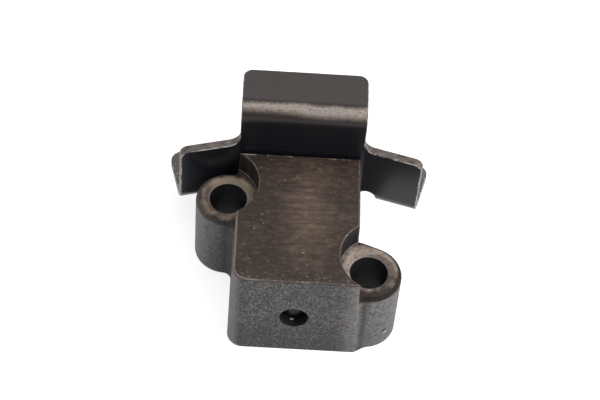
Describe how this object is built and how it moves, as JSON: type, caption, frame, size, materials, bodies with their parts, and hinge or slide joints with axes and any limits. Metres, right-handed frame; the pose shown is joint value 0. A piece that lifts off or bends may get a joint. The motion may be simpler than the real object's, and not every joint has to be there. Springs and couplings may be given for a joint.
{
  "type": "cam chain tensioner",
  "caption": "Hydraulic cam chain tensioner: cast body with diagonal scalloped bolt bosses, a sprung oil plunger and a folded steel shoe plate with swept wings.",
  "frame": {"origin": "middle of the bolt hole pair on the mounting face", "axes": "+X right across the body, +Y along the plunger's stroke towards the chain, +Z away from the mounting face"},
  "size_m": [0.0466, 0.0383, 0.0306],
  "materials": {
    "body_casting": "rough cast sides, ground top, oil stained",
    "plate_steel": "blackened pressed sheet, worn at its edges and bends",
    "plunger_steel": "ground and hardened",
    "bright_steel": "oily bright steel",
    "spring_wire": "drawn spring wire"
  },
  "bodies": {
    "body": {"tensioner_body": "body_casting", "plug_ball": "bright_steel", "valve_seat": "bright_steel", "valve_cage": "bright_steel", "check_ball_spring": "spring_wire", "plunger_spring": "spring_wire", "guide_pin": "bright_steel"},
    "plunger": {"plunger": "plunger_steel", "shoe_plate": "plate_steel"},
    "check_ball": {"check_ball": "bright_steel"}
  },
  "joints": [
    {"name": "plunger_slide", "type": "slide", "parent": "body", "child": "plunger", "axis": [0, 1, 0], "range_m": [0, 0.008], "deforming": ["plunger_spring"]},
    {"name": "check_ball_lift", "type": "slide", "parent": "body", "child": "check_ball", "axis": [0, 1, 0], "range_m": [0, 0.0008], "stiffness_N_per_m": 20, "deforming": ["check_ball_spring"]}
  ]
}
